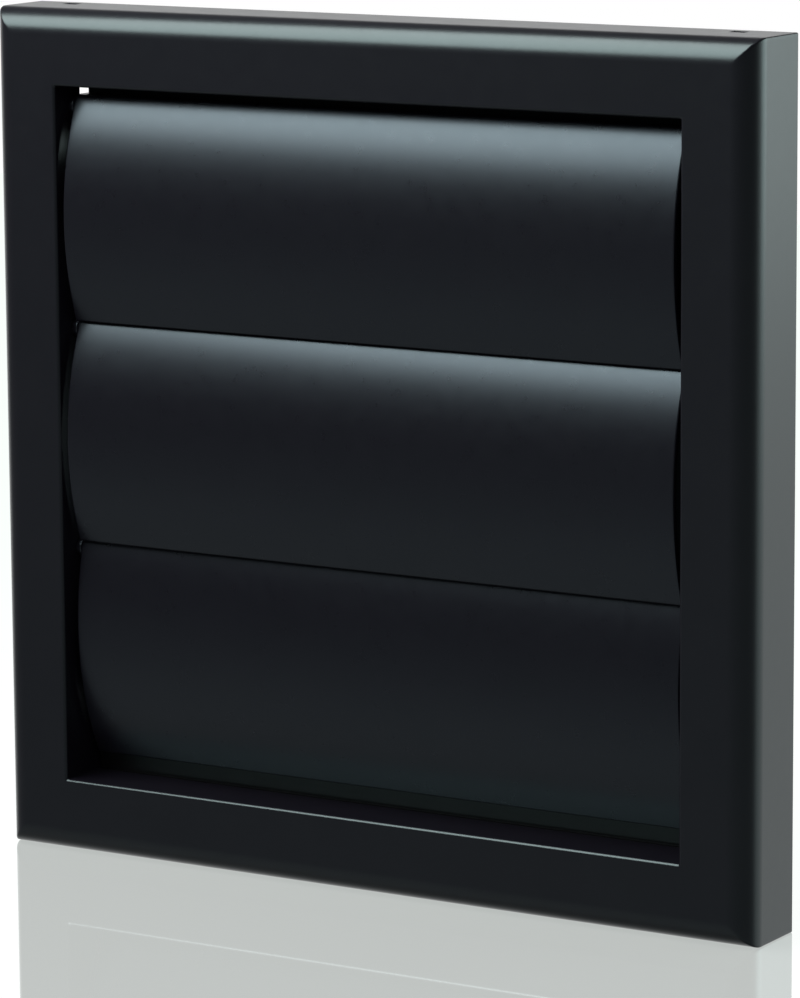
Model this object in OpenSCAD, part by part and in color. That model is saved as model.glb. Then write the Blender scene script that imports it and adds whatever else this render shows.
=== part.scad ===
// Square wall vent with three gravity flaps in a round-edged frame.
// The origin is the middle of the duct on the wall plane, the face looks along -Y, and +Z is up.
// Depths are measured from the front plane back towards the wall.

/* [Front frame] */
// Outside width and height of the square face
face_w = 154; // [150:1:190]
// Width and height of the square opening
opening_w = 126.6; // [110:0.2:130]
// Depth from the front plane to the wall
frame_depth = 15.9; // [15:0.1:24]
// Radius of the outer front edges
edge_r = 4.5; // [2.5:0.1:7]
// Radius of the front edge of the opening
lip_r = 0.6; // [0.2:0.1:1]
// Thickness of the flat face
face_t = 2.2; // [1.6:0.1:3]
// Thickness of the outer skirt
skirt_t = 1.8; // [1.4:0.1:2.4]
// Thickness of the inner skirt round the opening
inner_t = 2.0; // [1.6:0.1:2.6]
// Thickness of the pads that close the bearings on the outside of the inner skirt
pad_t = 1.2; // [0.8:0.1:2]
// Margin of the pads above and below the bearing slots
pad_rim = 1.6; // [1:0.1:2.4]
// Depth of the inner skirt from the front plane
inner_depth = 10.8; // [10.4:0.1:11.2]
// Thickness of the webs between the two skirts
web_t = 1.4; // [1:0.1:2]
// Distance that the webs stop short of the inner skirt's back edge
web_back = 0.8; // [0.4:0.1:3]
// Webs along each side of the frame
web_count = 3; // [1:2:5]

/* [Flaps] */
// Radius of the arc that a flap's face follows from top to bottom
face_r = 54; // [50:1:60]
// Depth of a hanging flap's foremost line behind the front plane
bulge_depth = 0.3; // [0.2:0.1:0.8]
// Distance of that line below the flap's pivots
bulge_drop = 19.95; // [19.8:0.05:20.6]
// Thickness of a flap's skin
flap_t = 1.3; // [1.1:0.1:1.5]
// Distance of the pivots behind the face
pivot_in = 1.3; // [1.2:0.05:1.5]
// Distance of the top pivot below the opening's top edge
pivot_drop = 3.8; // [3.6:0.05:4.4]
// Height of a flap's top edge above its pivots
crest_rise = 2.0; // [1.7:0.1:2.3]
// Height that a lip stays above the next flap's pivots
lip_rise = 1.5; // [1.4:0.05:1.6]
// Radius of the lip's outer corner
hem_r = 0.4; // [0.1:0.05:0.5]
// Height of the bottom lip above the sill, with that flap hanging straight
sill_gap = 3.7; // [3:0.1:4.5]
// Space between a flap's skin and the side wall of the opening
end_gap = 1.3; // [1:0.1:2.5]
// Radius of the pins at a flap's ends
pin_r = 1.25; // [1:0.05:1.3]
// Length of the pins' roots along the skin
root_l = 4.0; // [2:0.5:10]
// Radius of the shoulders that centre a flap between the side walls
shoulder_r = 1.6; // [1.4:0.05:1.65]
// Distance of the pin slots' entries below the opening's top edge, and as far above the lower pivots
entry_drop = 1.2; // [1.15:0.05:1.5]
// Depth of the knee in the pin slots, where they turn down to the bearings
knee_depth = 8.65; // [8.5:0.05:8.8]
// How much narrower than the pins the slots are on each side, so that the pins snap in
pin_snap = 0.15; // [0.1:0.05:0.25]

/* [Wall plate] */
// Width and height of the plate
plate_w = 131.0; // [130.8:0.2:133]
// Thickness of the plate
plate_t = 2.0; // [1.6:0.1:2.6]
// Width of the plate's raised rim, in line with the inner skirt
rim_t = 2.0; // [1.6:0.1:2.6]
// Height of the upstand behind the sill
weir_h = 5; // [4:0.5:7]
// How far the upstand leans forward from the sill to its top
weir_lean = 1.4; // [1:0.1:1.6]
// Outer radius of the round duct spigot
spigot_r = 49.25; // [40:0.25:50]
// Wall of the spigot
spigot_t = 2.0; // [1.6:0.1:3]
// Length of the spigot behind the wall plane
spigot_len = 30; // [20:1:42]
// Lead-in chamfer at the spigot's end
spigot_lead = 1.0; // [0.5:0.1:1.5]
// Spacing of the wall screws, across and up
screw_pitch = 104; // [100:0.5:108]
// Radius of the wall screw holes
screw_r = 2.25; // [1.75:0.05:2.75]

/* [Clips] */
// Distance of the clips from the middle of the vent
clip_x = 67.7; // [60:0.1:69]
// Width of the clip windows in the outer skirt
window_w = 3.0; // [2.4:0.1:5]
// Length of the clip windows, front to back
window_l = 2.2; // [1.8:0.1:3]
// Distance from the wall plane to the middle of the windows
window_back = 3.6; // [3.4:0.1:5]
// Thickness of a clip's arm
arm_t = 1.5; // [1.2:0.1:2.5]

/* [Clearances] */
// Radial clearance of a pin in its bearing
pin_gap = 0.05; // [0.02:0.01:0.1]
// Clearance where one piece seats near another
seat_gap = 0.3; // [0.2:0.05:0.4]
// Clearance between a lip and the next flap's face
lip_gap = 0.45; // [0.35:0.05:0.5]
// Clearance all round a clip in its window
clip_gap = 0.2; // [0.1:0.05:0.4]

/* [Hidden] */
$fn = 96;
over = 1;
flap_count = 3;
half = face_w / 2;
open_half = opening_w / 2;
front_y = -frame_depth;

// A flap's face is one arc, whose middle lies at arc_c when the pivot is at [0, 0]
arc_c = [sqrt(pow(face_r - pivot_in, 2) - bulge_drop * bulge_drop), -bulge_drop];
back_r = face_r - flap_t;

// Places of the pivots: the top one hangs below the opening's edge, the others follow at one pitch
pivot_depth = bulge_depth + face_r - arc_c[0];
pitch = (opening_w - pivot_drop - sill_gap + lip_rise) / flap_count;
flap_drop = pitch - lip_rise;
pivot_y = front_y + pivot_depth;
function pivot_z(i) = open_half - pivot_drop - i * pitch;

// The next flap's face, which the back of the lip clears
next_c = arc_c - [0, pitch];
lip_cut_r = face_r + lip_gap;

// Middle of the round along the top edge, in the middle of the skin, and a point beyond it on the same ray
crest_r = flap_t / 2;
crest_z = crest_rise - crest_r;
crest_c = [arc_c[0] - sqrt(pow(face_r - crest_r, 2) - pow(crest_z - arc_c[1], 2)), crest_z];
crest_ray = arc_c + (face_r + over) * (crest_c - arc_c) / norm(crest_c - arc_c);

// Middle of the round on the lip's outer corner, tangent to the face and to the level cut
hem_z = hem_r - flap_drop;
hem_c = [arc_c[0] - sqrt(pow(face_r - hem_r, 2) - pow(hem_z - arc_c[1], 2)), hem_z];
hem_dir = (hem_c - arc_c) / norm(hem_c - arc_c);

// Back corner of the lip: where the skin's back face meets the cut for the next face
along = (back_r * back_r - lip_cut_r * lip_cut_r + pitch * pitch) / (2 * pitch);
lip_back = arc_c - [sqrt(back_r * back_r - along * along), along];

// Turn of the bottom flap, which falls back until its lip nears the top of the upstand
rim_depth = inner_depth + seat_gap;
lip_reach = rim_depth - weir_lean - seat_gap - pivot_depth;
bottom_turn = asin(lip_reach / norm(lip_back)) - atan2(lip_back[0], -lip_back[1]);

flap_half = open_half - end_gap;
shoulder_half = open_half - seat_gap;
pin_half = open_half + inner_t - seat_gap;
bearing_r = pin_r + pin_gap;

// Slots that let the pins in from behind: level from the back, then down and forward to the bearing
slot_r = pin_r - pin_snap;
knee_r = slot_r + pin_snap / 2;
knee_rise = pivot_drop - entry_drop;

weir_z = -open_half + weir_h;
plate_half = plate_w / 2;
rim_half = open_half + rim_t;
plate_y = -plate_t;
rim_y = front_y + rim_depth;
bore_r = spigot_r - spigot_t;
skirt_in = half - skirt_t;
window_y = -window_back;
clip_w = window_w - 2 * clip_gap;
nib_l = window_l - 2 * clip_gap;
arm_top = skirt_in - seat_gap;
nib_top = half - skirt_t / 2;

// Stands a flat drawing of depth and height upright and runs it across the vent, from x0 to x1
module across(x0, x1) {
    translate([x0, 0, 0]) rotate([90, 0, 90]) linear_extrude(height = x1 - x0) children();
}

// Lays a flat drawing of width and depth level and runs it up, from z0 to z1
module upward(z0, z1) {
    translate([0, 0, z0]) linear_extrude(height = z1 - z0) children();
}

// A square outline in plan, with its front corners round, of half width w from depth y0 to y1
module round_front(w, y0, y1, r) {
    translate([-w, y0 + r]) square([2 * w, y1 - y0 - r]);
    translate([-w + r, y0]) square([2 * (w - r), y1 - y0]);
    for (s = [-1, 1]) translate([s * (w - r), y0 + r]) circle(r);
}

// A square block whose front edges are round and meet in mitres at the corners
module mitred_block(w, y0, y1, r) {
    intersection() {
        upward(-w - over, w + over) round_front(w, y0, y1, r);
        across(-w - over, w + over) mirrored_plan() round_front(w, y0, y1, r);
    }
}

// Turns a drawing of [width, depth] into one of [depth, height]
module mirrored_plan() {
    mirror([1, -1]) children();
}

// A plan of the opening, whose front edge flares out in a quarter round
module flared_plan(w, r) {
    translate([-w, front_y - over]) square([2 * w, inner_depth + 2 * over]);
    difference() {
        translate([-w - r, front_y - over]) square([2 * (w + r), r + over]);
        for (s = [-1, 1]) translate([s * (w + r), front_y + r]) circle(r);
    }
}

module opening_cut() {
    intersection() {
        upward(-half, half) flared_plan(open_half, lip_r);
        across(-half, half) mirrored_plan() flared_plan(open_half, lip_r);
    }
}

// A square ring, from half width w0 to w1 and from depth y0 to y1
module square_ring(w0, w1, y0, y1) {
    difference() {
        translate([-w1, y0, -w1]) cube([2 * w1, y1 - y0, 2 * w1]);
        translate([-w0, y0 - over, -w0]) cube([2 * w0, y1 - y0 + 2 * over, 2 * w0]);
    }
}

// Side view of one bearing slot, with the pivot at [0, 0]
module bearing_slot_2d() {
    knee = [knee_depth - pivot_depth, knee_rise];
    circle(bearing_r);
    rotate(atan2(knee[1], knee[0])) translate([0, -slot_r]) square([norm(knee), 2 * slot_r]);
    translate(knee) circle(knee_r);
    translate([knee[0], knee[1] - slot_r]) square([inner_depth, 2 * slot_r]);
}

// The slots are as deep as the inner skirt is thick, and the pads behind them close them
module bearing_slots() {
    for (i = [0 : flap_count - 1], s = [0, 1]) mirror([s, 0, 0])
        translate([0, pivot_y, pivot_z(i)]) across(open_half - over, open_half + inner_t) bearing_slot_2d();
}

module bearing_pads() {
    for (i = [0 : flap_count - 1], s = [0, 1]) mirror([s, 0, 0])
        translate([open_half + inner_t / 2, front_y + face_t / 2, pivot_z(i) - bearing_r - pad_rim])
            cube([inner_t / 2 + pad_t, inner_depth - face_t / 2, knee_rise + bearing_r + slot_r + 2 * pad_rim]);
}

// Webs that tie the two skirts together, evenly along one side
module webs() {
    inner = open_half + inner_t / 2;
    for (i = [0 : web_count - 1])
        translate([web_t * -0.5 + opening_w * ((i + 0.5) / web_count - 0.5), front_y + face_t / 2, inner])
            cube([web_t, inner_depth - web_back - face_t / 2, half - skirt_t / 2 - inner]);
}

module clip_windows() {
    for (x = [-clip_x, clip_x], s = [-1, 1])
        translate([x - window_w / 2, window_y - window_l / 2, s > 0 ? skirt_in - over : -half - over])
            cube([window_w, window_l, skirt_t + 2 * over]);
}

module front_frame() {
    color("#1d2023") difference() {
        union() {
            difference() {
                mitred_block(half, front_y, 0, edge_r);
                mitred_block(skirt_in, front_y + face_t, over, max(edge_r - skirt_t, 0.5));
            }
            square_ring(open_half, open_half + inner_t, front_y + face_t / 2, front_y + inner_depth);
            bearing_pads();
            intersection() {
                mitred_block(half - skirt_t / 2, front_y + face_t / 2, 0, edge_r);
                for (a = [0 : 90 : 270]) rotate([0, a, 0]) webs();
            }
        }
        opening_cut();
        bearing_slots();
        clip_windows();
    }
}

// What the round on the lip's outer corner takes away
module hem_cut() {
    difference() {
        polygon([
            hem_c, hem_c + 3 * hem_r * hem_dir,
            [hem_c[0] - 3 * hem_r, -flap_drop - over], [hem_c[0], -flap_drop - over]
        ]);
        translate(hem_c) circle(hem_r);
    }
}

// Side view of a flap, with its pivot at [0, 0], the wall to the right and its face to the left
module flap_profile() {
    translate(crest_c) circle(crest_r);
    difference() {
        intersection() {
            translate(arc_c) difference() {
                circle(face_r, $fn = 360);
                circle(back_r, $fn = 360);
            }
            polygon([arc_c, crest_ray, [-face_r, crest_ray[1]], [-face_r, -flap_drop], [arc_c[0], -flap_drop]]);
        }
        translate(next_c) circle(lip_cut_r, $fn = 360);
        hem_cut();
    }
}

// One flap about its own pivot: the skin, then a shoulder and a pin at each end
module flap_solid() {
    across(-flap_half, flap_half) flap_profile();
    for (s = [0, 1]) mirror([s, 0, 0]) {
        across(flap_half, shoulder_half) circle(shoulder_r);
        across(flap_half - root_l, pin_half) circle(pin_r);
    }
}

module flap(i, turn) {
    color("#24272a") translate([0, pivot_y, pivot_z(i)]) rotate([turn, 0, 0]) flap_solid();
}

module flap_top() { flap(0, 0); }

module flap_middle() { flap(1, 0); }

module flap_bottom() { flap(2, bottom_turn); }

// A clip stands on the plate's edge: an ear, an arm forward along the skirt and a nib up into the window
module clip() {
    arm_front = window_y - nib_l / 2;
    translate([clip_x - clip_w / 2, 0, 0]) {
        translate([0, plate_y, plate_half - arm_t]) cube([clip_w, plate_t, arm_top - plate_half + arm_t]);
        translate([0, arm_front, arm_top - arm_t]) cube([clip_w, -arm_front, arm_t]);
        across(0, clip_w) polygon([
            [arm_front, arm_top - arm_t / 2], [arm_front + nib_l, arm_top - arm_t / 2],
            [arm_front + nib_l, nib_top], [arm_front + nib_l / 2, nib_top], [arm_front, nib_top - nib_l / 2]
        ]);
    }
}

// Feet that carry the clips out past the plate's corners
module clip_foot() {
    translate([plate_half - 4 * arm_t, plate_y, plate_half - 2 * arm_t])
        cube([clip_x + clip_w / 2 - plate_half + 4 * arm_t, plate_t, 4 * arm_t]);
}

// Front of the upstand between the side walls, leaning forward over the sill
module leaning_face() {
    across(-shoulder_half, shoulder_half) polygon([
        [rim_y, -shoulder_half], [rim_y + rim_t / 2, -shoulder_half],
        [rim_y + rim_t / 2, weir_z], [rim_y - weir_lean, weir_z]
    ]);
}

// Notches in the rim's sides, in line with the entries of the pin slots
module rim_notches() {
    for (i = [0 : flap_count - 1])
        translate([-rim_half - over, rim_y - over, pivot_z(i) + knee_rise - slot_r])
            cube([2 * (rim_half + over), plate_y - rim_y + over, 2 * slot_r]);
}

module screw_places() {
    for (x = [-1, 1], z = [-1, 1])
        translate([x * screw_pitch / 2, 0, z * screw_pitch / 2]) rotate([90, 0, 0]) children();
}

module wall_plate() {
    color("#191b1d") difference() {
        union() {
            translate([-plate_half, plate_y, -plate_half]) cube([plate_w, plate_t, plate_w]);
            square_ring(open_half, rim_half, rim_y, plate_y + plate_t / 2);
            translate([-rim_half, rim_y, -rim_half]) cube([2 * rim_half, rim_t, weir_z + rim_half]);
            leaning_face();
            rotate([-90, 0, 0]) translate([0, 0, plate_y]) cylinder(r = spigot_r, h = plate_t + spigot_len - spigot_lead);
            rotate([-90, 0, 0]) translate([0, 0, spigot_len - spigot_lead])
                cylinder(r1 = spigot_r, r2 = spigot_r - spigot_lead, h = spigot_lead);
            for (m = [0, 1], n = [0, 1]) mirror([m, 0, 0]) mirror([0, 0, n]) {
                clip_foot();
                clip();
            }
        }
        rim_notches();
        rotate([-90, 0, 0]) translate([0, 0, plate_y - over]) cylinder(r = bore_r, h = plate_t + spigot_len + 2 * over);
        screw_places() translate([0, 0, -over]) cylinder(r = screw_r, h = plate_t + 2 * over);
    }
}

front_frame();
flap_top();
flap_middle();
flap_bottom();
wall_plate();
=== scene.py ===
# Square wall vent with three gravity flaps: its looks, a plain studio and the camera.
# The object's sizes are in millimetres until a mesh is made, and those of the lights and the floor in metres.
# The origin is the middle of the duct on the wall plane.
import math

import bmesh
import bpy
import numpy as np
from mathutils import Matrix, Quaternion, Vector


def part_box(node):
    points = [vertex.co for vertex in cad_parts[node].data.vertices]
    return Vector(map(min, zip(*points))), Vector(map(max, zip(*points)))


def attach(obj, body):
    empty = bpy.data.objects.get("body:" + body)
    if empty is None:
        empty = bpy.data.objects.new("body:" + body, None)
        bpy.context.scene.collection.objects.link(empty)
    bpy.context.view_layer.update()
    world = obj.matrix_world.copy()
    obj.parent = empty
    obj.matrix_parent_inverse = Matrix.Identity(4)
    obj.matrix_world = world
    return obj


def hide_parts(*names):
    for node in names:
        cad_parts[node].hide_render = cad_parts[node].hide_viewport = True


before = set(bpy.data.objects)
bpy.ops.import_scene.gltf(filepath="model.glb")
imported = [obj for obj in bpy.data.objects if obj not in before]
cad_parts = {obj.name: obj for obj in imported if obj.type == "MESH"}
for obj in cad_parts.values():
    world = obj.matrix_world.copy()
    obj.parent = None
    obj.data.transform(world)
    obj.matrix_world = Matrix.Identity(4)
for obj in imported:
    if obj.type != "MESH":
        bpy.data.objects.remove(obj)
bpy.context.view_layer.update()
print("frame loaded:", sorted(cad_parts))

mm = 0.001
# How far a cutter runs past what it cuts, and how far a slot's cutter starts inside the opening
overcut, insideCut = 1.0, 0.3
# Corners and supports of an outline that end inside another solid
buriedRound, buriedSupport = 0.01, 0.005

# Shapes


def arcPoints(centre, radius, startAngle, endAngle, count):
    # Points evenly along a circle from one angle to another, in degrees, both ends included
    turn = np.radians(np.linspace(startAngle, endAngle, count))
    return np.array(centre) + radius * np.column_stack((np.cos(turn), np.sin(turn)))


def circlePoints(centre, radius, count=48):
    # Points evenly round a whole circle
    return arcPoints(centre, radius, 0, 360 - 360 / count, count)


def roundedOutline(corners, edgeSupport=0.06, stepAngle=9.0):
    # A closed outline of straight runs whose corners (a, b, radius) are rounded by tangent arcs.
    # A point just past each end of an arc keeps the shading of the straight runs level.
    spots = np.array([corner[:2] for corner in corners], float)
    outline = []
    for k, (_, _, radius) in enumerate(corners):
        spot = spots[k]
        back = spots[k - 1] - spot
        ahead = spots[(k + 1) % len(corners)] - spot
        back, ahead = back / np.linalg.norm(back), ahead / np.linalg.norm(ahead)
        between = math.acos(float(back @ ahead))
        reach = radius / math.tan(between / 2)
        middle = (back + ahead) / np.linalg.norm(back + ahead)
        centre = spot + middle * radius / math.sin(between / 2)
        first, last = spot + back * reach - centre, spot + ahead * reach - centre
        startAngle = math.degrees(math.atan2(first[1], first[0]))
        sweep = math.degrees(math.atan2(last[1], last[0])) - startAngle
        sweep = (sweep + 180) % 360 - 180
        count = max(3, int(round(abs(sweep) / stepAngle)) + 1)
        outline += [
            [spot + back * (reach + edgeSupport)],
            arcPoints(centre, radius, startAngle, startAngle + sweep, count),
            [spot + ahead * (reach + edgeSupport)],
        ]
    return np.vstack(outline)


def gridFaces(rows, columns, closeRows=False):
    # Quads between neighbouring points of a grid, each row a closed ring. The last row can join the first.
    rowSteps = np.arange(rows if closeRows else rows - 1)
    i, j = np.meshgrid(rowSteps, np.arange(columns), indexing="ij")
    iNext, jNext = (i + 1) % rows, (j + 1) % columns
    quads = np.stack((i * columns + j, iNext * columns + j, iNext * columns + jNext, i * columns + jNext), -1)
    return quads.reshape(-1, 4).tolist()


def pieceFrom(name, points, faces):
    # A closed mesh from points in millimetres, its faces turned outwards
    mesh = bpy.data.meshes.new(name)
    mesh.from_pydata((np.asarray(points, float) * mm).tolist(), [], faces)
    shell = bmesh.new()
    shell.from_mesh(mesh)
    bmesh.ops.recalc_face_normals(shell, faces=shell.faces)
    shell.to_mesh(mesh)
    shell.free()
    piece = bpy.data.objects.new(name, mesh)
    bpy.context.scene.collection.objects.link(piece)
    return piece


def squareRun(name, profile, cornerRound=0.3, support=0.4, cornerSteps=5):
    # A closed profile of [half width, depth] carried round a square, one station after another. At each
    # corner of the square a point at half width w runs a small arc about (w - cornerRound), between two
    # support stations.
    turn, shift, signs = [], [], []
    for quarter in range(4):
        angles = np.linspace(90 * quarter, 90 * quarter + 90, cornerSteps)
        turn += [angles[0], *angles, angles[-1]]
        shift += [-support, *np.zeros(cornerSteps), support]
        side = math.radians(90 * quarter + 45)
        signs += [[math.copysign(1, math.cos(side)), math.copysign(1, math.sin(side))]] * (cornerSteps + 2)
    turn, shift, signs = np.radians(turn), np.array(shift), np.array(signs)
    along = np.column_stack((-np.sin(turn), np.cos(turn))) * shift[:, None]
    out = np.column_stack((np.cos(turn), np.sin(turn))) * cornerRound
    place = (profile[:, None, :1] - cornerRound) * signs[None] + (out + along)[None]
    depth = np.broadcast_to(profile[:, None, 1:], place[..., :1].shape)
    points = np.concatenate((place[..., :1], depth, place[..., 1:]), -1)
    return pieceFrom(name, points.reshape(-1, 3), gridFaces(len(profile), len(turn), closeRows=True))


def acrossRun(name, outlines, stations):
    # Closed outlines of [depth, height], one at each station across the vent, joined up and capped
    outlines = np.broadcast_to(outlines, (len(stations), *np.shape(outlines)[-2:]))
    x = np.broadcast_to(np.asarray(stations, float)[:, None, None], outlines[..., :1].shape)
    points = np.concatenate((x, outlines), -1)
    rows, columns = points.shape[:2]
    faces = gridFaces(rows, columns)
    faces += [list(range(columns)), list(range((rows - 1) * columns, rows * columns))]
    return pieceFrom(name, points.reshape(-1, 3), faces)


def upRun(name, outline, z0, z1):
    # A closed outline of [depth, width] carried straight up: the same run with its width and height exchanged
    piece = acrossRun(name, outline, (z0, z1))
    piece.data.transform(Matrix(((0, 0, 1, 0), (0, 1, 0, 0), (1, 0, 0, 0), (0, 0, 0, 1))))
    piece.data.flip_normals()
    return piece


def turnedRun(name, profile, steps=48):
    # A profile of [across, radius] turned once about the line across the vent. Its ends lie on that line.
    turn = np.linspace(0, 2 * math.pi, steps, endpoint=False)
    body = profile[1:-1]
    y, z = body[:, None, 1] * np.cos(turn)[None], body[:, None, 1] * np.sin(turn)[None]
    x = np.broadcast_to(body[:, None, 0], y.shape)
    points = np.stack((x, y, z), -1).reshape(-1, 3)
    points = np.vstack((points, [[profile[0, 0], 0, 0], [profile[-1, 0], 0, 0]]))
    rows = len(body)
    faces = gridFaces(rows, steps)
    tip, last = rows * steps, (rows - 1) * steps
    faces += [[tip, (k + 1) % steps, k] for k in range(steps)]
    faces += [[tip + 1, last + k, last + (k + 1) % steps] for k in range(steps)]
    return pieceFrom(name, points, faces)


def block(name, low, high):
    # A plain block between two corners, for cutting
    (x0, y0, z0), (x1, y1, z1) = low, high
    return acrossRun(name, np.array([[y0, z0], [y1, z0], [y1, z1], [y0, z1]]), (x0, x1))


def combine(piece, others, operation):
    # Joins other solids to a piece or cuts them out of it, and leaves one plain mesh
    for other in others:
        step = piece.modifiers.new(operation, "BOOLEAN")
        step.operation, step.solver, step.object = operation, "EXACT", other
    made = bpy.data.meshes.new_from_object(piece.evaluated_get(bpy.context.evaluated_depsgraph_get()))
    piece.modifiers.clear()
    piece.data = made
    for other in others:
        bpy.data.objects.remove(other)


def smoothBut(piece, sharpAngle=32.0):
    # Smooth shading, broken at edges that turn by more than sharpAngle
    piece.data.polygons.foreach_set("use_smooth", [True] * len(piece.data.polygons))
    piece.data.set_sharp_from_angle(angle=math.radians(sharpAngle))


# Finishes


def nodesOf(holder):
    holder.use_nodes = True
    tree = holder.node_tree
    tree.nodes.clear()
    return tree


def addNode(tree, kind, **inputs):
    # A node with its sockets set by name, where a double underscore stands for a space
    node = tree.nodes.new(kind)
    for key, value in inputs.items():
        node.inputs[key.replace("__", " ")].default_value = value
    return node


def satinPlastic(name, look):
    # Moulded plastic: a clouded base colour, a roughness that drifts, and a fine grain over slow waves.
    # The roughness runs over the part of the noise's range where most of its values lie.
    usualNoise = (0.3, 0.7)
    material = bpy.data.materials.new(name)
    tree = nodesOf(material)
    link = tree.links.new
    place = addNode(tree, "ShaderNodeTexCoord")
    clouds = addNode(tree, "ShaderNodeTexNoise", Scale=look["cloudScale"], Detail=4.0, Roughness=0.6)
    grain = addNode(tree, "ShaderNodeTexNoise", Scale=look["grainScale"], Detail=2.0, Roughness=0.5)
    waves = addNode(tree, "ShaderNodeTexNoise", Scale=look["waveScale"], Detail=1.0, Roughness=0.4)
    rubbed = addNode(tree, "ShaderNodeTexNoise", Scale=look["rubScale"], Detail=5.0, Roughness=0.65)
    for texture in (clouds, grain, waves, rubbed):
        link(place.outputs["Object"], texture.inputs["Vector"])
    colour = addNode(tree, "ShaderNodeMix")
    colour.data_type = "RGBA"
    colour.inputs[6].default_value = (*look["darkColour"], 1)
    colour.inputs[7].default_value = (*look["lightColour"], 1)
    link(clouds.outputs["Fac"], colour.inputs["Factor"])
    gloss = addNode(tree, "ShaderNodeMapRange", From__Min=usualNoise[0], From__Max=usualNoise[1])
    gloss.inputs["To Min"].default_value, gloss.inputs["To Max"].default_value = look["roughness"]
    link(rubbed.outputs["Fac"], gloss.inputs["Value"])
    waveHeight, grainHeight = look["waveHeight"] * mm, look["grainHeight"] * mm
    waveBump = addNode(tree, "ShaderNodeBump", Strength=look["waveStrength"], Distance=waveHeight)
    grainBump = addNode(tree, "ShaderNodeBump", Strength=look["grainStrength"], Distance=grainHeight)
    link(waves.outputs["Fac"], waveBump.inputs["Height"])
    link(grain.outputs["Fac"], grainBump.inputs["Height"])
    link(waveBump.outputs["Normal"], grainBump.inputs["Normal"])
    glossTint = (*look["glossTint"], 1)
    shader = addNode(tree, "ShaderNodeBsdfPrincipled", IOR=look["ior"], Specular__Tint=glossTint)
    link(colour.outputs[2], shader.inputs["Base Color"])
    link(gloss.outputs["Result"], shader.inputs["Roughness"])
    link(grainBump.outputs["Normal"], shader.inputs["Normal"])
    out = addNode(tree, "ShaderNodeOutputMaterial")
    link(shader.outputs["BSDF"], out.inputs["Surface"])
    return material


framePlastic = satinPlastic("frame_plastic", {
    "darkColour": (0.0034, 0.0026, 0.0052),
    "lightColour": (0.0052, 0.0042, 0.0072),
    "roughness": (0.29, 0.32),
    "ior": 1.5, "glossTint": (0.76, 1.0, 0.99),
    "cloudScale": 120, "grainScale": 1800, "waveScale": 26, "rubScale": 420,
    "waveStrength": 0.2, "waveHeight": 0.02, "grainStrength": 0.08, "grainHeight": 0.02,
})
flapPlastic = satinPlastic("flap_plastic", {
    "darkColour": (0.0026, 0.0019, 0.0038),
    "lightColour": (0.0040, 0.0031, 0.0054),
    "roughness": (0.27, 0.30),
    "ior": 1.54, "glossTint": (0.69, 0.9, 1.0),
    "cloudScale": 120, "grainScale": 1800, "waveScale": 22, "rubScale": 420,
    "waveStrength": 0.2, "waveHeight": 0.02, "grainStrength": 0.05, "grainHeight": 0.02,
})
# The plate's plastic is set darker and less blue than the frame's so that its upstand, deep in the opening,
# reads dark: painted shade.
plateShadedPlastic = satinPlastic("plate_plastic", {
    "darkColour": (0.0026, 0.0022, 0.0026),
    "lightColour": (0.0044, 0.0038, 0.0044),
    "roughness": (0.30, 0.36),
    "ior": 1.45, "glossTint": (0.72, 0.9, 0.9),
    "cloudScale": 60, "grainScale": 1700, "waveScale": 35, "rubScale": 240,
    "waveStrength": 0.2, "waveHeight": 0.03, "grainStrength": 0.15, "grainHeight": 0.03,
})
print("finishes made")

# Front frame

frontFrame = {
    "faceWidth": 154.0, "openingWidth": 126.6, "depth": 15.9, "edgeRound": 4.5, "openingRound": 0.6,
    "faceThick": 2.2, "skirtThick": 1.8, "innerThick": 2.0, "innerDepth": 10.8,
    "webThick": 1.4, "webBack": 0.8, "webRound": 0.15, "webCount": 3, "smallRound": 0.25,
    "windowAcross": 67.7, "windowWidth": 3.0, "windowLength": 2.2, "windowBack": 3.6,
}
flapSet = {
    "count": 3,
    "faceRadius": 54.0, "bulgeDepth": 0.3, "bulgeDrop": 19.95, "thick": 1.3, "pivotIn": 1.3, "pivotDrop": 3.8,
    "crestRise": 2.0, "lipRise": 1.5, "hemRadius": 0.4, "sillGap": 3.7, "endGap": 1.3, "lipGap": 0.45,
    "pinRadius": 1.25, "rootLength": 4.0, "shoulderRadius": 1.6, "entryDrop": 1.2, "kneeDepth": 8.65,
    "pinSnap": 0.15, "pinGap": 0.05, "seatGap": 0.3, "padThick": 1.2, "padRim": 1.6, "padRound": 0.25,
    "endRound": 0.25, "endSteps": 4, "endSupport": 0.1, "hubRound": 0.2, "hubSteps": 4,
    "crestSteps": 17, "faceSteps": 100, "lipSteps": 8, "backSteps": 70,
}

outerHalf = frontFrame["faceWidth"] / 2
openHalf = frontFrame["openingWidth"] / 2
frontY = -frontFrame["depth"]
arcAcross = math.sqrt((flapSet["faceRadius"] - flapSet["pivotIn"]) ** 2 - flapSet["bulgeDrop"] ** 2)
pivotDepth = flapSet["bulgeDepth"] + flapSet["faceRadius"] - arcAcross
pivotY = frontY + pivotDepth
hung = frontFrame["openingWidth"] - flapSet["pivotDrop"] - flapSet["sillGap"] + flapSet["lipRise"]
pitch = hung / flapSet["count"]
pivotHeights = [openHalf - flapSet["pivotDrop"] - i * pitch for i in range(flapSet["count"])]


def frameProfile(size):
    # Skirt, round edge, face, opening's edge, inner skirt and the hollow behind, as [half width, depth]
    small = size["smallRound"]
    skirtIn = outerHalf - size["skirtThick"]
    innerOut = openHalf + size["innerThick"]
    faceBack = frontY + size["faceThick"]
    return roundedOutline([
        (outerHalf, 0, small),
        (outerHalf, frontY, size["edgeRound"]),
        (openHalf, frontY, size["openingRound"]),
        (openHalf, frontY + size["innerDepth"], small),
        (innerOut, frontY + size["innerDepth"], small),
        (innerOut, faceBack, small),
        (skirtIn, faceBack, size["edgeRound"] - size["skirtThick"]),
        (skirtIn, 0, small),
    ], stepAngle=5)


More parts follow.
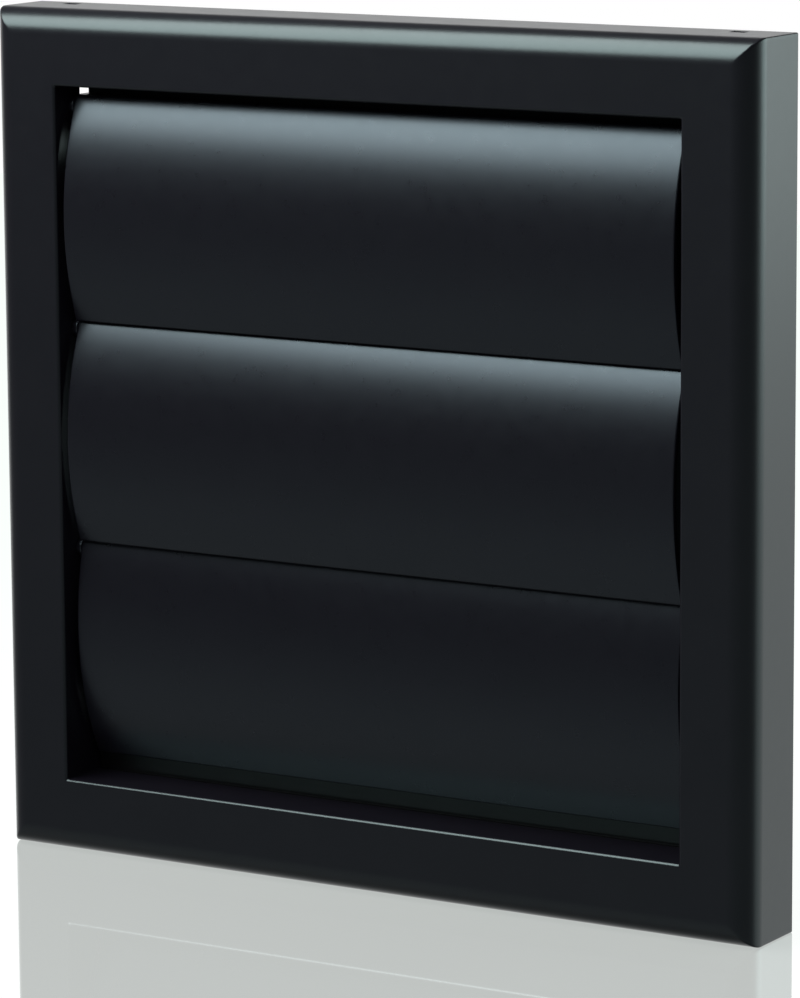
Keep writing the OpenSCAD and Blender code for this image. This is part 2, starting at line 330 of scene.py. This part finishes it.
def slotCutters(flap, size):
    # Where the pins go in from behind: a level channel, a knee, then a slope down and forward to each bearing
    slotHalf = flap["pinRadius"] - flap["pinSnap"]
    knee = np.array([flap["kneeDepth"] - pivotDepth, flap["pivotDrop"] - flap["entryDrop"]])
    slope = knee / np.linalg.norm(knee)
    aside = np.array([-slope[1], slope[0]]) * slotHalf
    level = np.array([size["innerDepth"] - pivotDepth + overcut, 0])
    up = np.array([0, slotHalf])
    channels = [
        circlePoints((0, 0), flap["pinRadius"] + flap["pinGap"]),
        np.array([aside, knee + aside, knee - aside, -aside]),
        circlePoints(knee, slotHalf + flap["pinSnap"] / 2),
        np.array([knee + up, knee + level + up, knee + level - up, knee - up]),
    ]
    cutters = []
    for height in pivotHeights:
        for side in (-1, 1):
            ends = sorted((side * (openHalf - insideCut), side * (openHalf + size["innerThick"])))
            cutters += [
                acrossRun("cutter", channel + np.array([pivotY, height]), ends) for channel in channels
            ]
    return cutters


def bearingPads(flap, size):
    # Pads outside the inner skirt that close the bearing slots
    inner, outer = openHalf + size["innerThick"] / 2, openHalf + size["innerThick"] + flap["padThick"]
    front, back = frontY + size["faceThick"] / 2, frontY + size["innerDepth"]
    below = flap["pinRadius"] + flap["pinGap"] + flap["padRim"]
    above = flap["pivotDrop"] - flap["entryDrop"] + flap["pinRadius"] - flap["pinSnap"] + flap["padRim"]
    pads = []
    for height in pivotHeights:
        low, high = height - below, height + above
        outline = roundedOutline([
            (front, low, buriedRound), (back, low, flap["padRound"]),
            (back, high, flap["padRound"]), (front, high, buriedRound),
        ], buriedSupport)
        for side in (-1, 1):
            pads.append(acrossRun("pad", outline, sorted((side * inner, side * outer))))
    return pads


def webWalls(size):
    # Thin walls that tie the two skirts together, evenly along each side of the square, their front corners
    # inside the frame's round edge
    inner, outer = openHalf + size["innerThick"] / 2, outerHalf - size["skirtThick"] / 2
    front = frontY + size["faceThick"] / 2
    back = frontY + size["innerDepth"] - size["webBack"]
    cornerRound = size["edgeRound"] - size["skirtThick"] / 2
    walls = []
    for k in range(size["webCount"]):
        middle = size["openingWidth"] * ((k + 0.5) / size["webCount"] - 0.5)
        ends = (middle - size["webThick"] / 2, middle + size["webThick"] / 2)
        for side in (-1, 1):
            outline = roundedOutline([
                (front, side * inner, buriedRound), (back, side * inner, buriedRound),
                (back, side * outer, size["webRound"]), (front, side * outer, cornerRound),
            ], buriedSupport)
            walls += [acrossRun("web", outline, ends), upRun("web", outline, *ends)]
    return walls


def windowCutters(size):
    # The clip windows through the top and bottom walls
    halfWidth, halfLength = size["windowWidth"] / 2, size["windowLength"] / 2
    inner, outer = outerHalf - size["skirtThick"] - overcut, outerHalf + overcut
    cutters = []
    for x in (-size["windowAcross"], size["windowAcross"]):
        for side in (-1, 1):
            low, high = sorted((side * inner, side * outer))
            cutters.append(block(
                "cutter", (x - halfWidth, -size["windowBack"] - halfLength, low),
                (x + halfWidth, -size["windowBack"] + halfLength, high),
            ))
    return cutters


framePiece = squareRun("front_frame_moulding", frameProfile(frontFrame))
combine(framePiece, webWalls(frontFrame) + bearingPads(flapSet, frontFrame), "UNION")
combine(framePiece, slotCutters(flapSet, frontFrame) + windowCutters(frontFrame), "DIFFERENCE")
smoothBut(framePiece)
framePiece.data.materials.append(framePlastic)
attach(framePiece, "housing")
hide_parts("front_frame")
print("front frame made:", len(framePiece.data.polygons), "faces")

# Flaps


def angleOf(vector):
    return math.degrees(math.atan2(vector[1], vector[0])) % 360


def flapOutline(flap, inset=0.0):
    # One long arc: a round top edge, the bowed face down to the lip, and the back up again. The lip's back is
    # hollowed to clear the next flap's face. The whole section is drawn in by inset.
    thick, drop = flap["thick"], pitch - flap["lipRise"]
    middle = np.array([arcAcross, -flap["bulgeDrop"]])
    nextMiddle = middle - np.array([0, pitch])
    faceRadius, backRadius = flap["faceRadius"] - inset, flap["faceRadius"] - thick + inset
    cutRadius, hem = flap["faceRadius"] + flap["lipGap"] + inset, flap["hemRadius"] - inset

    def onArc(radius, height):
        # The point of that height on the circle about the arc's middle
        return np.array([middle[0] - math.sqrt(radius**2 - (height - middle[1]) ** 2), height])

    crestMiddle = onArc(flap["faceRadius"] - thick / 2, flap["crestRise"] - thick / 2)
    hemMiddle = onArc(flap["faceRadius"] - flap["hemRadius"], flap["hemRadius"] - drop)
    level = inset - drop
    cutStart = np.array([nextMiddle[0] - math.sqrt(cutRadius**2 - (level - nextMiddle[1]) ** 2), level])
    along = (backRadius**2 - cutRadius**2 + pitch**2) / (2 * pitch)
    lipBack = middle - np.array([math.sqrt(backRadius**2 - along**2), along])
    crestAngle, hemAngle = angleOf(crestMiddle - middle), angleOf(hemMiddle - middle)
    cutAngles = angleOf(cutStart - nextMiddle), angleOf(lipBack - nextMiddle)
    straightDown = 270
    outline = np.vstack([
        arcPoints(crestMiddle, thick / 2 - inset, crestAngle - 180, crestAngle, flap["crestSteps"]),
        arcPoints(middle, faceRadius, crestAngle, hemAngle, flap["faceSteps"])[1:],
        arcPoints(hemMiddle, hem, hemAngle, straightDown, flap["lipSteps"])[1:],
        arcPoints(nextMiddle, cutRadius, *cutAngles, flap["lipSteps"]),
        arcPoints(middle, backRadius, angleOf(lipBack - middle), crestAngle, flap["backSteps"])[1:-1],
    ])
    return outline, lipBack


def endHub(flap, side):
    # Shoulder and pin at one end of a flap, turned about the pivots; the pin's root runs on along the skin
    skinEnd = openHalf - flap["endGap"]
    shoulderEnd = openHalf - flap["seatGap"]
    pinEnd = openHalf + frontFrame["innerThick"] - flap["seatGap"]
    shoulder, pin = flap["shoulderRadius"], flap["pinRadius"]
    small, steps = flap["hubRound"], flap["hubSteps"]
    profile = np.vstack([
        [[skinEnd - flap["rootLength"], 0], [skinEnd - flap["rootLength"], pin]],
        [[skinEnd, pin]],
        arcPoints((skinEnd + small, shoulder - small), small, 180, 90, steps),
        arcPoints((shoulderEnd - small, shoulder - small), small, 90, 0, steps),
        [[shoulderEnd, pin]],
        arcPoints((pinEnd - 2 * small, pin - 2 * small), 2 * small, 90, 0, steps + 1),
        [[pinEnd, 0]],
    ])
    profile[:, 0] *= side
    return turnedRun("hub", profile)


def makeFlap(name, node, body, pivotHeight, turnBack):
    # Rounded ends, then a station just inside each that keeps the shading of the long faces level
    half = openHalf - flapSet["endGap"]
    turn = np.radians(np.linspace(0, 90, flapSet["endSteps"] + 1))
    inset = np.append(flapSet["endRound"] * (1 - np.sin(turn)), 0)
    inward = np.append(flapSet["endRound"] * (1 - np.cos(turn)), flapSet["endRound"] + flapSet["endSupport"])
    outlines = [flapOutline(flapSet, k)[0] for k in (*inset, *inset[::-1])]
    piece = acrossRun(name, outlines, np.concatenate((inward - half, half - inward[::-1])))
    combine(piece, [endHub(flapSet, -1), endHub(flapSet, 1)], "UNION")
    place = Matrix.Translation((0, pivotY * mm, pivotHeight * mm)) @ Matrix.Rotation(turnBack, 4, "X")
    piece.data.transform(place)
    smoothBut(piece)
    piece.data.materials.append(flapPlastic)
    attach(piece, body)
    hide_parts(node)
    print(name, "made:", len(piece.data.polygons), "faces")


# The bottom flap falls back until its lip nears the top of the wall plate's upstand, which leans forward
upstandLean = 1.4
lipBackPoint = flapOutline(flapSet)[1]
lipReach = frontFrame["innerDepth"] - upstandLean - pivotDepth
lipAngle = math.atan2(lipBackPoint[0], -lipBackPoint[1])
bottomTurn = math.asin(lipReach / float(np.linalg.norm(lipBackPoint))) - lipAngle
makeFlap("flap_top_moulding", "flap_top", "flap_top", pivotHeights[0], 0)
makeFlap("flap_middle_moulding", "flap_middle", "flap_middle", pivotHeights[1], 0)
makeFlap("flap_bottom_moulding", "flap_bottom", "flap_bottom", pivotHeights[2], bottomTurn)
print("bottom flap turned back", round(math.degrees(bottomTurn), 2), "degrees")

# Wall plate

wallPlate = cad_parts["wall_plate"]
# The darkened plastic paints shade onto the plate's upstand in the recess.
for holder in wallPlate.material_slots:
    holder.material = plateShadedPlastic

# Studio

studio = {
    "backWhite": 1.0, "frontTo": 0.05, "whiteFrom": 0.35, "fill": 0.5,
    "frontLevels": ((-1, 0.06), (-0.72, 0.28), (-0.5, 0.3), (0.18, 0.02)),
    "backLevels": ((-1, 0.1), (-0.45, 1.0), (0.3, 1.0), (0.45, 0.12)),
    "floorMirror": 0.5, "mirrorRoughness": 0.03, "floorGlow": 0.94, "glowColour": (0.95, 1.0, 0.97),
    "floorDiffuse": 0.1, "floorSize": 0.9, "glossTo": 0.13, "plainFrom": 0.3,
}


def worldLight(look):
    # White for the camera, plain grey as fill. Gloss sees a white sheet behind the object that ends low down,
    # a dim table in front of it, and a dark room above.
    world = bpy.data.worlds.new("studio")
    bpy.context.scene.world = world
    tree = nodesOf(world)
    link = tree.links.new
    place = addNode(tree, "ShaderNodeTexCoord")
    split = addNode(tree, "ShaderNodeSeparateXYZ")
    link(place.outputs["Generated"], split.inputs["Vector"])
    height = addNode(tree, "ShaderNodeMapRange", From__Min=-1, From__Max=1)
    link(split.outputs["Z"], height.inputs["Value"])
    turned = addNode(tree, "ShaderNodeMapRange", From__Min=look["frontTo"], From__Max=look["whiteFrom"])
    link(split.outputs["Y"], turned.inputs["Value"])
    behind = addNode(tree, "ShaderNodeMix")
    link(turned.outputs["Result"], behind.inputs["Factor"])
    for levels, socket in ((look["frontLevels"], 2), (look["backLevels"], 3)):
        ramp = tree.nodes.new("ShaderNodeValToRGB")
        stops = ramp.color_ramp.elements
        while len(stops) < len(levels):
            stops.new(1)
        for stop, (rise, level) in zip(stops, levels):
            stop.position, stop.color = (rise + 1) / 2, (level, level, level, 1)
        link(height.outputs["Result"], ramp.inputs["Fac"])
        link(ramp.outputs["Color"], behind.inputs[socket])
    path = addNode(tree, "ShaderNodeLightPath")
    sharp = addNode(tree, "ShaderNodeMath")
    sharp.operation = "MAXIMUM"
    link(path.outputs["Is Glossy Ray"], sharp.inputs[0])
    link(path.outputs["Is Transmission Ray"], sharp.inputs[1])
    glossLevel = addNode(tree, "ShaderNodeMix")
    glossLevel.inputs[2].default_value = look["fill"]
    link(sharp.outputs["Value"], glossLevel.inputs["Factor"])
    link(behind.outputs[0], glossLevel.inputs[3])
    level = addNode(tree, "ShaderNodeMix")
    level.inputs[3].default_value = look["backWhite"]
    link(path.outputs["Is Camera Ray"], level.inputs["Factor"])
    link(glossLevel.outputs[0], level.inputs[2])
    sky = addNode(tree, "ShaderNodeBackground", Color=(1, 1, 1, 1))
    link(level.outputs[0], sky.inputs["Strength"])
    out = addNode(tree, "ShaderNodeOutputWorld")
    link(sky.outputs["Background"], out.inputs["Surface"])


def aroundObject(azimuth, elevation, distance):
    # A place round the object. Azimuth 0 stands in front of it and 90 to its right.
    a, e = math.radians(azimuth), math.radians(elevation)
    return Vector((math.sin(a) * math.cos(e), -math.cos(a) * math.cos(e), math.sin(e))) * distance


def softPanel(name, place, faces, look):
    # A soft box at a place, looking along faces and rolled about that line by so many degrees
    lamp = bpy.data.lights.new(name, "AREA")
    lamp.shape, lamp.size, lamp.size_y = "RECTANGLE", look["width"], look["height"]
    lamp.energy = look["radiance"] * math.pi * look["width"] * look["height"]
    lamp.color = look["colour"]
    holder = bpy.data.objects.new(name, lamp)
    bpy.context.scene.collection.objects.link(holder)
    holder.location = place
    holder.rotation_mode = "QUATERNION"
    roll = Quaternion(faces, math.radians(look["roll"]))
    holder.rotation_quaternion = roll @ faces.to_track_quat("-Z", "Y")
    holder.visible_camera = False


keyLight = {
    "place": (-0.143, -0.26, 0.334), "azimuth": -98.4, "elevation": 40.4, "roll": -24.2,
    "width": 0.473, "height": 0.345, "radiance": 8.4, "colour": (1, 1, 1),
}
sideLight = {
    "azimuth": 130, "elevation": 12, "distance": 0.75, "roll": 0,
    "width": 0.46, "height": 0.42, "radiance": 3.2, "colour": (0.88, 1, 1),
}
worldLight(studio)
keyFaces = -aroundObject(keyLight["azimuth"], keyLight["elevation"], 1)
softPanel("key", Vector(keyLight["place"]), keyFaces, keyLight)
sidePlace = aroundObject(sideLight["azimuth"], sideLight["elevation"], sideLight["distance"])
softPanel("behind_right", sidePlace, -sidePlace.normalized(), sideLight)


def studioFloor(look, height):
    # A white board that keeps the object's shadow, with a glossy patch under and round the object
    size = look["floorSize"] / mm
    corners = ((-size, -size), (size, -size), (size, size), (-size, size))
    floor = pieceFrom("floor", [[x, y, height / mm] for x, y in corners], [[0, 1, 2, 3]])
    material = bpy.data.materials.new("white_board")
    tree = nodesOf(material)
    link = tree.links.new
    white = addNode(tree, "ShaderNodeBsdfDiffuse", Color=(*[look["floorDiffuse"]] * 3, 1))
    glow = addNode(tree, "ShaderNodeEmission", Color=(*look["glowColour"], 1))
    path = addNode(tree, "ShaderNodeLightPath")
    seen = addNode(tree, "ShaderNodeMath")
    seen.operation = "MULTIPLY"
    seen.inputs[1].default_value = look["floorGlow"]
    link(path.outputs["Is Camera Ray"], seen.inputs[0])
    link(seen.outputs["Value"], glow.inputs["Strength"])
    plain = addNode(tree, "ShaderNodeAddShader")
    link(white.outputs["BSDF"], plain.inputs[0])
    link(glow.outputs["Emission"], plain.inputs[1])
    mirror = addNode(tree, "ShaderNodeBsdfGlossy", Color=(1, 1, 1, 1), Roughness=look["mirrorRoughness"])
    place = addNode(tree, "ShaderNodeTexCoord")
    away = addNode(tree, "ShaderNodeVectorMath")
    away.operation = "DISTANCE"
    away.inputs[1].default_value = (0, 0, height)
    link(place.outputs["Object"], away.inputs[0])
    patch = addNode(tree, "ShaderNodeMapRange", From__Min=look["glossTo"], From__Max=look["plainFrom"])
    patch.inputs["To Min"].default_value = look["floorMirror"]
    patch.inputs["To Max"].default_value = 0
    link(away.outputs["Value"], patch.inputs["Value"])
    board = addNode(tree, "ShaderNodeMixShader")
    link(patch.outputs["Result"], board.inputs["Fac"])
    link(plain.outputs["Shader"], board.inputs[1])
    link(mirror.outputs["BSDF"], board.inputs[2])
    out = addNode(tree, "ShaderNodeOutputMaterial")
    link(board.outputs["Shader"], out.inputs["Surface"])
    floor.data.materials.append(material)
    floor.visible_glossy = False


studioFloor(studio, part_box("front_frame")[0].z)
print("studio made")

# Camera

cameraFit = {
    "azimuth": 31.555, "elevation": 10.002, "roll": -0.39, "distance": 890.055,
    "shiftAcross": -1.041, "shiftUp": -8.171, "focalPixels": 5043.757, "imageHeight": 998, "sensor": 36.0,
}


def placeCamera(fit):
    # Looks along -back from a point beside the middle of the vent, turned a little about its line of sight
    back = aroundObject(fit["azimuth"], fit["elevation"], 1)
    roll = math.radians(fit["roll"])
    right = Vector((0, 0, 1)).cross(back).normalized()
    up = back.cross(right)
    across = math.cos(roll) * right + math.sin(roll) * up
    above = -math.sin(roll) * right + math.cos(roll) * up
    camera = bpy.data.objects.new("camera", bpy.data.cameras.new("camera"))
    bpy.context.scene.collection.objects.link(camera)
    camera.data.sensor_fit = "AUTO"
    camera.data.sensor_width = fit["sensor"]
    camera.data.lens = fit["focalPixels"] * fit["sensor"] / fit["imageHeight"]
    camera.data.clip_start, camera.data.clip_end = 0.01, 20
    place = back * fit["distance"] + across * fit["shiftAcross"] + above * fit["shiftUp"]
    turned = Matrix((across, above, back)).transposed().to_4x4()
    camera.matrix_world = Matrix.Translation(place * mm) @ turned
    bpy.context.scene.camera = camera


placeCamera(cameraFit)
bpy.context.scene.view_settings.view_transform = "Standard"
